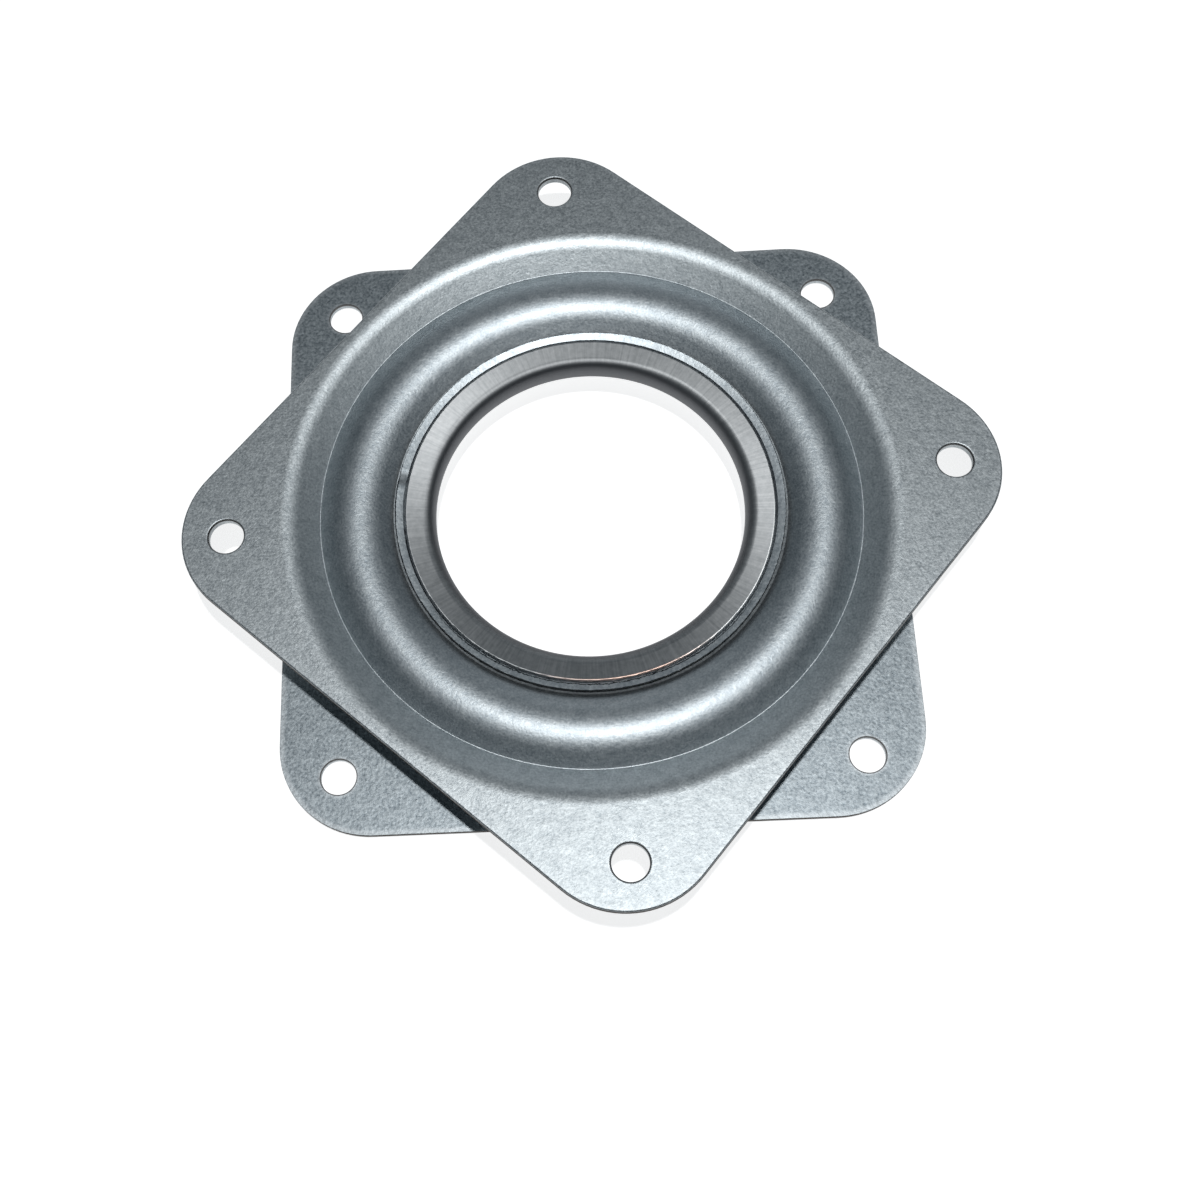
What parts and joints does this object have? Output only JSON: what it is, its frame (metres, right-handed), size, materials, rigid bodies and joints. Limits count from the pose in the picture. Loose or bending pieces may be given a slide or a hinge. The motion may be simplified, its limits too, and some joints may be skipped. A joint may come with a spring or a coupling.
{
  "type": "lazy susan bearing",
  "caption": "Low turntable bearing: two square pressed-steel plates with a ball race between them, joined by a rolled neck round an open centre, with corner screw holes.",
  "frame": {"origin": "on the turning axis, level with the underside of the lower plate", "axes": "+Z along the turning axis, up through the upper plate; X and Y along the lower plate's sides, with the upper plate turned 48.5 degrees as in the picture"},
  "size_m": [0.0968, 0.0968, 0.0083],
  "materials": {
    "zinc_plated_sheet": "satin",
    "bearing_steel": "polished"
  },
  "bodies": {
    "lower_plate": {"lower_plate": "zinc_plated_sheet"},
    "upper_plate": {"upper_plate": "zinc_plated_sheet"},
    "ball_ring": {"bearing_balls": "bearing_steel"}
  },
  "joints": [
    {"name": "swivel", "type": "hinge", "parent": "lower_plate", "child": "upper_plate", "pos_m": [0, 0, 0.00415], "axis": [0, 0, 1], "continuous": true},
    {"name": "ball_orbit", "type": "hinge", "parent": "lower_plate", "child": "ball_ring", "pos_m": [0, 0, 0.00415], "axis": [0, 0, 1], "continuous": true}
  ],
  "couplings": [
    {"joint": "ball_orbit", "follows": "swivel", "ratio": 0.5}
  ]
}
